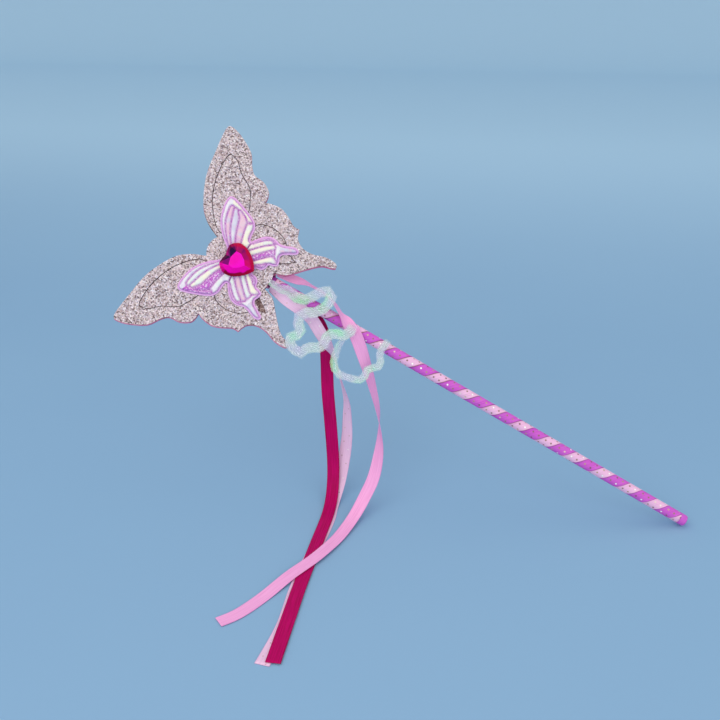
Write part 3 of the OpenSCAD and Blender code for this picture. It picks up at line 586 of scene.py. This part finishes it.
def loft(rings):
    """Faces over rings of points with the same count each, capped at both ends."""
    size = len(rings[0])
    faces = [(i * size + j, i * size + (j + 1) % size, (i + 1) * size + (j + 1) % size, (i + 1) * size + j)
             for i in range(len(rings) - 1) for j in range(size)]
    faces.append(tuple(reversed(range(size))))
    faces.append(tuple((len(rings) - 1) * size + j for j in range(size)))
    return [p for ring in rings for p in ring], faces


def whole_section(top):
    """A section from its upper half: shares of the half width, then of the half thickness."""
    return top + [(a, -h) for a, h in reversed(top)]


RIBBON_SECTION = whole_section([
    (-1, 0.3), (-0.985, 0.85), (-0.95, 1), (-0.9, 1), (-0.86, 0.72), (-0.5, 0.76), (0, 0.8), (0.5, 0.76),
    (0.86, 0.72), (0.9, 1), (0.95, 1), (0.985, 0.85), (1, 0.3)])
BRAID_SECTION = whole_section([
    (-1, 0.5), (-0.985, 0.9), (-0.97, 1), (-0.6, 0.9), (-0.3, 1), (0, 0.9), (0.3, 1), (0.6, 0.9), (0.97, 1),
    (0.985, 0.9), (1, 0.5)])


def strip(points, widths, section, half_width, thickness, reach=None):
    """Rings of a section along points in metres, with places along and across it in millimetres."""
    rings, uvs, so_far, last = [], [], 0.0, len(points) - 1
    for i, point in enumerate(points):
        so_far += (point - points[i - 1]).length / MM if i else 0.0
        run = (points[min(i + 1, last)] - points[max(i - 1, 0)]).normalized()
        across = (widths[i] - run * widths[i].dot(run)).normalized()
        out = run.cross(across)
        half = half_width(so_far) * (reach[i] if reach else 1.0)
        rings.append([point + across * (a * half * MM) + out * (h * thickness / 2 * MM) for a, h in section])
        uvs += [(so_far, a * half) for a, _ in section]
    return rings, uvs


def line_length(points):
    return sum((b - a).length for a, b in zip(points, points[1:]))


def hanging_ribbon(name, route, material, slot, node):
    """A ribbon along its route, turned to the width it has at each point."""
    points = [p * MM for p in open_curve([r[0] for r in route], 8)]
    widths = open_curve([r[1] for r in route], 8)
    rings, uvs = strip(points, widths, RIBBON_SECTION, lambda at: RIBBON_W / 2, RIBBON_T)
    made = piece(name, *loft(rings), uvs, material, slot, "ribbon_bunch", [node])


def braid_band(name, route, width, material, node):
    """The braid, flat side to the front, with a corner at each point of its route and rippled edges."""
    bends = [in_row(p) for p in route]
    sides = [AXIS_Z.cross(b - a).normalized() for a, b in zip(bends, bends[1:])]
    halves = [a.angle(b) / 2 for a, b in zip(sides, sides[1:])]
    least = CORNER_LEAST * MM
    setback = [least] + [max(width / 2 * MM * math.tan(h), least) for h in halves] + [least]
    mitre = [1.0] + [min(1 / math.cos(h), MITRE_MOST) for h in halves] + [1.0]
    points, reach = [bends[0]], [1.0]
    for k, (a, b) in enumerate(zip(bends, bends[1:])):
        long = (b - a).length
        near, far = (min(back, CORNER_SHARE * long) for back in setback[k:k + 2])
        points += [a.lerp(b, (near + (long - near - far) * i / (BRAID_ROWS - 1)) / long) for i in range(BRAID_ROWS)]
        points.append(b)
        reach += [1.0] * BRAID_ROWS + [mitre[k + 1]]
    last = len(points) - 1
    widths = [AXIS_Z.cross(points[min(i + 1, last)] - points[max(i - 1, 0)]) for i in range(len(points))]

    def half_width(at):
        gathered = min(BRAID_GATHER + (1 - BRAID_GATHER) * at / BRAID_SPREAD, 1.0)
        ripple = sum(share * math.sin(2 * math.pi * at / wave) for share, wave in (FINE_RIPPLE, BROAD_RIPPLE))
        return width / 2 * gathered * (1 + ripple)

    rings, uvs = strip(points, widths, BRAID_SECTION, half_width, BRAID_T, reach)
    sheer = sheer_braid(material, width / 2, line_length(points) / MM)
    made = piece(name, *loft(rings), uvs, sheer, "sheer_braid", "ribbon_bunch", [node])


def hand_drift(at):
    """How far the hand-wound turns stray from an even pitch, at a distance from the butt."""
    return DRIFT_LEAST + DRIFT_GROWTH * min(abs(at - DRIFT_MIDDLE) / DRIFT_MIDDLE, DRIFT_LIMIT) ** 2


def winding(name, middle, width, material, slot, node):
    """A ribbon wound on the dowel, trimmed level at the cap and at the tie."""
    rings, uvs = [], []
    overrun = width / 2 - WRAP_OVERRUN
    first = (middle + hand_drift(WRAP_TO) - (WRAP_TO + overrun)) / WRAP_PITCH * 2 * math.pi
    last = (middle + hand_drift(WRAP_FROM) - (WRAP_FROM - overrun)) / WRAP_PITCH * 2 * math.pi
    count = int((last - first) / (2 * math.pi) * WRAP_STEPS)
    around = 2 * math.pi * WRAP_R
    slant = math.hypot(WRAP_PITCH, around)
    for i in range(count + 1):
        turn = first + (last - first) * i / count
        at = middle - WRAP_PITCH * turn / (2 * math.pi)
        at += hand_drift(at)
        ring, marks = [], []
        for a, h in RIBBON_SECTION:
            place = min(max(at + a * width / 2, WRAP_FROM), WRAP_TO)
            radius = BORE_R + (WRAP_R - BORE_R) * (0.5 + 0.5 * h)
            ring.append(in_row((-place, radius * math.sin(turn), radius * math.cos(turn))))
            marks.append((turn / (2 * math.pi) * slant - (place - at) * WRAP_PITCH / slant,
                          (place - at) * around / slant))
        rings.append(ring[::-1])
        uvs += marks[::-1]
    piece(name, *loft(rings), uvs, material, slot, "wand", [node])


def turned(name, profile, material, slot, body, node, segments=72):
    """A piece turned about the stick: each profile point is a distance from the butt and a radius."""
    rings = [[in_row((-at, r * math.sin(a), r * math.cos(a)))
              for a in (-2 * math.pi * k / segments for k in range(segments))] for at, r in profile]
    uvs = [(r * 2 * math.pi * k / segments, at) for at, r in profile for k in range(segments)]
    piece(name, *loft(rings), uvs, material, slot, body, [node])


def on_applique(shares, side):
    """Shares of the applique as places in the stick's own axes, flat."""
    return [Vector((-(APPLIQUE_AT + s * APPLIQUE_LEN), side * w * APPLIQUE_SPAN / 2)) for s, w in shares]


def half_outline(side):
    """The applique's outline on one side, from its head to its tail, and the place of its notch in it."""
    fore = open_curve(on_applique(FORE_SHARES, side), 6)
    hind = open_curve(on_applique(HIND_SHARES, side), 6)
    return fore[:-1] + hind, fore[-1]


def applique_outline():
    right, _ = half_outline(1)
    left, _ = half_outline(-1)
    return right + left[-2:0:-1]


def moved_in(points, by, closed, inward_left):
    """A flat line moved sideways, to its left or to its right."""
    n, moved = len(points), []
    for i, p in enumerate(points):
        before = points[(i - 1) % n] if closed else points[max(i - 1, 0)]
        after = points[(i + 1) % n] if closed else points[min(i + 1, n - 1)]
        run = (after - before).normalized()
        normal = Vector((-run.y, run.x)) * (1 if inward_left else -1)
        moved.append(p + normal * by)
    return moved


def distances(points, line):
    """The distance of each flat point from a line of points."""
    p = np.array([tuple(q) for q in points])[:, None, :]
    a = np.array([tuple(q) for q in line[:-1]])
    run = np.array([tuple(q) for q in line[1:]]) - a
    share = np.clip(((p - a) * run).sum(2) / (run * run).sum(1), 0, 1)
    return np.linalg.norm(p - a - share[..., None] * run, axis=2).min(1)


def inside(points, outline):
    """Which flat points lie inside a closed outline."""
    p = np.array([tuple(q) for q in points])
    odd = np.zeros(len(p), bool)
    for a, b in zip(outline, outline[1:] + outline[:1]):
        crosses = (a.y > p[:, 1]) != (b.y > p[:, 1])
        if a.y != b.y:
            odd ^= crosses & (p[:, 0] < (b.x - a.x) * (p[:, 1] - a.y) / (b.y - a.y) + a.x)
    return odd


def filled(outline):
    """Triangles that fill a flat outline, all turned the outline's own way."""
    made = []
    for face in tessellate_polygon([[p.to_3d() for p in outline]]):
        a, b, c = (outline[k] for k in face)
        turn = (b - a).cross(c - a)
        made.append(tuple(face) if turn > 0 else tuple(reversed(face)))
    return made


# The border's section: distance in from its edge, and height above the foam.
BORDER_SECTION = [(0, 0), (0, 0.45), (0.1, 0.72), (0.34, 0.86), (0.6, 0.76), (0.78, 0.55), (1.05, 0.5),
                  (BORDER_W, 0.62)]


def applique_border(material):
    """The sealed border of the small butterfly, filled in under the film."""
    outline = applique_outline()[::-1]
    size = len(outline)
    lengths, so_far = [], 0.0
    for i, p in enumerate(outline):
        so_far += (p - outline[i - 1]).length if i else 0.0
        lengths.append(so_far)
    points, uvs, faces = [], [], []
    for inward, height in BORDER_SECTION:
        ring = moved_in(outline, inward, True, True)
        points += [in_row((p.x, p.y, FACE_Z + height)) for p in ring]
        uvs += [(at, inward) for at in lengths]
    for i in range(len(BORDER_SECTION) - 1):
        low, high = i * size, (i + 1) * size
        faces += [(low + j, low + (j + 1) % size, high + (j + 1) % size, high + j) for j in range(size)]
    top = (len(BORDER_SECTION) - 1) * size
    faces += [tuple(top + k for k in face) for face in filled(moved_in(outline, BORDER_W, True, True))]
    faces += [tuple(reversed(face)) for face in filled(outline)]
    piece("applique_border", points, faces, uvs, material, "lilac_cloth", "wand", ["applique_backing"])


# The film: spacing of its points, heights above the foam, how wide a rib's shoulder is, and the gem's seat in it.
FILM_GAP = 0.5
FILM_LOW = 0.45
FILM_EDGE = 0.62
FILM_RISE = 2.0
FILM_SHOULDER = 1.7
SEAT_R = 8.0


def film_outline(side, fore):
    """The edge of one wing's film: inside the border, and closed at the heart's middle."""
    outline, notch = half_outline(side)
    edge = moved_in(outline, BORDER_W - 0.1, False, side < 0)
    clear = distances(edge, applique_outline() + [outline[0]])
    edge = [p for p, gap in zip(edge, clear) if gap > BORDER_W - 0.16 and side * p.y > 0.05]
    split = min(range(len(edge)), key=lambda k: (edge[k] - notch).length)
    wing = edge[:split + 1] if fore else edge[split:]
    return wing + [Vector(HEART_AT)]


def film_points(outline):
    """Points over a wing of the film: those of its edge first, then a staggered grid inside it."""
    edge = []
    for a, b in zip(outline, outline[1:] + outline[:1]):
        count = max(1, round((b - a).length / FILM_GAP))
        edge += [a.lerp(b, i / count) for i in range(count)]
    low_x, high_x = min(p.x for p in edge), max(p.x for p in edge)
    low_y, high_y = min(p.y for p in edge), max(p.y for p in edge)
    rise = FILM_GAP * math.sqrt(3) / 2
    grid = [Vector((low_x + (i + 0.5 * (j % 2)) * FILM_GAP, low_y + j * rise))
            for j in range(int((high_y - low_y) / rise) + 1)
            for i in range(int((high_x - low_x) / FILM_GAP) + 1)]
    kept = inside(grid, outline) & (distances(grid, edge + edge[:1]) > 0.55 * FILM_GAP)
    return edge, [p for p, keep in zip(grid, kept) if keep]


def film_wing(side, fore, tints):
    """One wing of the film as a closed pillow, puffed between its seams and level under the gem."""
    outline = film_outline(side, fore)
    edge, inner = film_points(outline)
    flat, _, faces, origins, _, _ = delaunay_2d_cdt(edge + inner, [], [list(range(len(edge)))], 1, 1e-6)
    lines = {name: (rib, open_curve(on_applique(shares, side), 6))
             for name, (rib, shares) in (FORE_RIBS if fore else HIND_RIBS).items()}
    gaps = {name: distances(flat, line) for name, (_, line) in lines.items()}
    count = max(rib for rib, _ in lines.values()) + 1
    ribs = np.array([np.min([gaps[name] for name in lines if lines[name][0] == k], axis=0) for k in range(count)])
    nearest = np.sort(ribs, axis=0)
    rim = distances(flat, edge + edge[:1])
    away = np.minimum((nearest[1] - nearest[0]) / 2, rim)
    names = list(lines)
    tint = np.array([tints[name] for name in names])[np.array([gaps[name] for name in names]).argmin(0)]
    shoulder = np.clip(away / FILM_SHOULDER, 0, 1)
    high = FACE_Z + FILM_EDGE + FILM_RISE * np.sqrt(shoulder * (2 - shoulder))
    seat = np.clip(np.linalg.norm(np.array([tuple(p) for p in flat]) - HEART_AT, axis=1) - SEAT_R, 0, 1)
    high = seat * high + (1 - seat) * (FOIL_Z - 0.02)
    size = len(flat)
    points = [in_row((p.x, p.y, h)) for p, h in zip(flat, high)]
    points += [in_row((p.x, p.y, FACE_Z + FILM_LOW)) for p in flat]
    uvs = [(float(a), float(t)) for a, t in zip(away, tint)] * 2
    at = {given: k for k, origin in enumerate(origins) for given in origin}
    loop = [at[k] for k in range(len(edge))]
    if sum(a.x * b.y - a.y * b.x for a, b in zip(edge, edge[1:] + edge[:1])) < 0:
        loop.reverse()
    made = []
    for face in faces:
        a, b, c = (flat[k] for k in face)
        up = tuple(face) if (b - a).cross(c - a) > 0 else tuple(reversed(face))
        made += [up, tuple(size + k for k in reversed(up))]
    made += [(size + k, size + l, l, k) for k, l in zip(loop, loop[1:] + loop[:1])]
    return points, made, uvs


def padded_film(name, wing, material):
    """A wing of the film as a padded piece that also stands for the wadding in it."""
    made = piece(name, *wing, material, "holographic_film", "wand", ["applique_film", "applique_padding"])


def dress(node, material):
    """A better material for a CAD node that stays."""
    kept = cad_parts[node]
    kept.data.materials.clear()
    kept.data.materials.append(material)


def add_camera():
    camera = bpy.data.objects.new("camera", bpy.data.cameras.new("camera"))
    camera.data.lens = CAMERA_LENS
    camera.data.sensor_width = 36
    camera.data.clip_start = 0.01
    camera.location = CAMERA_AT
    camera.rotation_euler = AXIS_Z.to_track_quat("Z", "Y").to_euler()
    bpy.context.collection.objects.link(camera)
    bpy.context.scene.camera = camera


def add_light(name, at, aim, size, power):
    light = bpy.data.lights.new(name, "AREA")
    light.size = size
    light.energy = power
    lamp = bpy.data.objects.new(name, light)
    lamp.location = at
    lamp.rotation_euler = (Vector(at) - Vector(aim)).to_track_quat("Z", "Y").to_euler()
    bpy.context.collection.objects.link(lamp)


# The sweep behind the wand, in metres: where the floor begins to rise, its radius, the wall's top and half width.
SWEEP_FROM = 4.0
SWEEP_R = 1.2
WALL_TOP = 7.0
STAGE_REACH = 9.0


def add_stage():
    """A plain pale floor that rises into a wall behind, painted lighter far off where the lamps' light falls off."""
    floor = FLOOR_Z * MM
    bends = [math.radians(90 * k / 24) for k in range(25)]
    profile = [(-STAGE_REACH, floor)]
    profile += [(SWEEP_FROM + SWEEP_R * math.sin(a), floor + SWEEP_R * (1 - math.cos(a))) for a in bends]
    profile.append((SWEEP_FROM + SWEEP_R, WALL_TOP))
    points = [(x, y, z) for y, z in profile for x in (-STAGE_REACH, STAGE_REACH)]
    faces = [(2 * k, 2 * k + 1, 2 * k + 3, 2 * k + 2) for k in range(len(profile) - 1)]
    mesh = bpy.data.meshes.new("sweep")
    mesh.from_pydata(points, [], faces)
    mesh.shade_smooth()
    paint = Paint("sweep", Roughness=0.9, Specular_IOR_Level=0.1)
    place = paint.place()
    near = paint.mix(paint.noise(place, 3.0), colour(138, 174, 205), colour(143, 179, 208))
    _, depth, _ = paint.split(place)
    # Painted light: lighter with distance, making up for light falling off far from the lamps.
    paint.put("Base Color", paint.mix(paint.step(depth, 0.2, 1.8), near, colour(180, 213, 235)))
    mesh.materials.append(paint.material)
    sweep = bpy.data.objects.new("sweep", mesh)
    bpy.context.collection.objects.link(sweep)


def add_studio():
    """Soft studio light: an even world and four large lamps."""
    world = bpy.data.worlds.new("studio")
    world.use_nodes = True
    sky = world.node_tree.nodes["Background"]
    sky.inputs["Color"].default_value = (0.97, 0.98, 1.0, 1)
    sky.inputs["Strength"].default_value = 0.8
    bpy.context.scene.world = world
    aim = (-0.22, -0.03, 0.1)
    add_light("key", (-0.7, -1.1, 1.2), aim, 1.2, 5)
    add_light("fill", (0.9, -1.0, 0.5), aim, 1.4, 3)
    add_light("front", (-0.2, -1.3, 0.25), aim, 1.0, 3)
    add_light("top", (-0.1, 0.6, 1.5), aim, 1.4, 2)


add_camera()

# The third colour of each satin is its painted edge shade.
orchid_base, orchid_shade, orchid_painted_edge = colour(216, 108, 208), colour(202, 84, 194), colour(140, 34, 132)
pale_base, pale_shade, pale_painted_edge = colour(246, 196, 226), colour(236, 176, 212), colour(204, 138, 180)
orchid_dots = satin("orchid_satin", orchid_base, orchid_shade, orchid_painted_edge, WOUND_ORCHID_HALF, ORCHID_DOTS)
pale_dots = satin("pale_satin_winding", pale_base, pale_shade, pale_painted_edge, WOUND_PALE_HALF, PALE_DOTS)
pale_loose = satin("pale_satin", colour(240, 200, 226), colour(230, 186, 216), colour(216, 164, 204),
                   RIBBON_W / 2, LOOSE_DOTS, LOOSE_DOT_SHARE)
cerise = satin("cerise_satin", colour(191, 0, 98), colour(161, 0, 76), colour(145, 0, 62), RIBBON_W / 2)
light_pink = satin("light_pink_satin", colour(250, 176, 222), colour(240, 158, 210), colour(228, 142, 198),
                   RIBBON_W / 2)
plain_orchid = satin("orchid_satin_plain", orchid_base, orchid_shade, orchid_painted_edge, NO_EDGE_SHADE)

hanging_ribbon("cerise_ribbon_strip", CERISE_ROUTE, cerise, "cerise_satin", "cerise_ribbon")
hanging_ribbon("light_pink_ribbon_strip", LIGHT_PINK_ROUTE, light_pink, "light_pink_satin", "light_pink_ribbon")
hanging_ribbon("dotted_ribbon_strip", DOTTED_ROUTE, pale_loose, "pale_satin", "dotted_ribbon")
braid_band("braid_upper_band", BRAID_UPPER_ROUTE, UPPER_BRAID_W, "sheer_braid", "braid_upper")
braid_band("braid_lower_band", BRAID_LOWER_ROUTE, LOWER_BRAID_W, "sheer_braid_lower", "braid_lower")

winding("orchid_winding", ORCHID_AT, ORCHID_W, orchid_dots, "orchid_satin", "orchid_wrap")
winding("pale_winding", ORCHID_AT + WRAP_PITCH / 2, PALE_W, pale_dots, "pale_satin", "pale_wrap")
turned("cap_satin", [(0.02, 0.4), (0, 2.6), (0.06, 3.4), (0.3, 3.8), (0.7, 3.97), (1.2, WRAP_R), (4.6, WRAP_R),
                     (4.9, 3.96), (CAP_LEN, 3.85), (CAP_LEN, BORE_R)],
       plain_orchid, "orchid_satin", "wand", "end_cap")
turned("tie_satin", [(TIE_FROM, BORE_R), (TIE_FROM, 3.9), (TIE_FROM + 0.2, WRAP_R), (TIE_TO - 0.2, WRAP_R),
                     (TIE_TO, 3.9), (TIE_TO, BORE_R)],
       plain_orchid, "orchid_satin", "ribbon_bunch", "ribbon_tie")

applique_border(border_cloth())
film = puffed_film()
padded_film("puff_left_forewing", film_wing(-1, True, {
    "lead": PEARL, "trail": VIOLET, "first": MINT, "second": LEMON, "third": VIOLET, "leaf": PEARL}), film)
padded_film("puff_right_forewing", film_wing(1, True, {
    "lead": PEARL, "trail": LEMON, "first": ROSE, "second": BLUISH, "third": ROSE, "leaf": LEMON}), film)
padded_film("puff_left_hindwing", film_wing(-1, False, {
    "edge": LILAC + 0.1, "first": MINT, "second": ROSE, "third": MINT, "fourth": LEMON, "inner": LILAC,
    "joint": MINT - 0.1, "tail": ROSE + 0.1}), film)
padded_film("puff_right_hindwing", film_wing(1, False, {
    "edge": LILAC + 0.1, "first": LEMON, "second": LEMON, "third": VIOLET, "fourth": LEMON, "inner": VIOLET,
    "joint": PEARL, "tail": ROSE + 0.1}), film)

glitter_foam = glitter("glitter_foam")
for foam in ("front_butterfly", "left_forewing_panel", "right_forewing_panel", "left_hindwing_panel",
             "right_hindwing_panel"):
    dress(foam, glitter_foam)
dress("back_butterfly", plain_foam("pink_foam", colour(226, 140, 178), colour(206, 112, 156)))
dress("stick_core", wood("dowel"))
dress("gem_foil", mirror_foil())
dress("heart_gem", tinted_gem())

add_stage()
add_studio()
bpy.context.scene.view_settings.view_transform = "Standard"
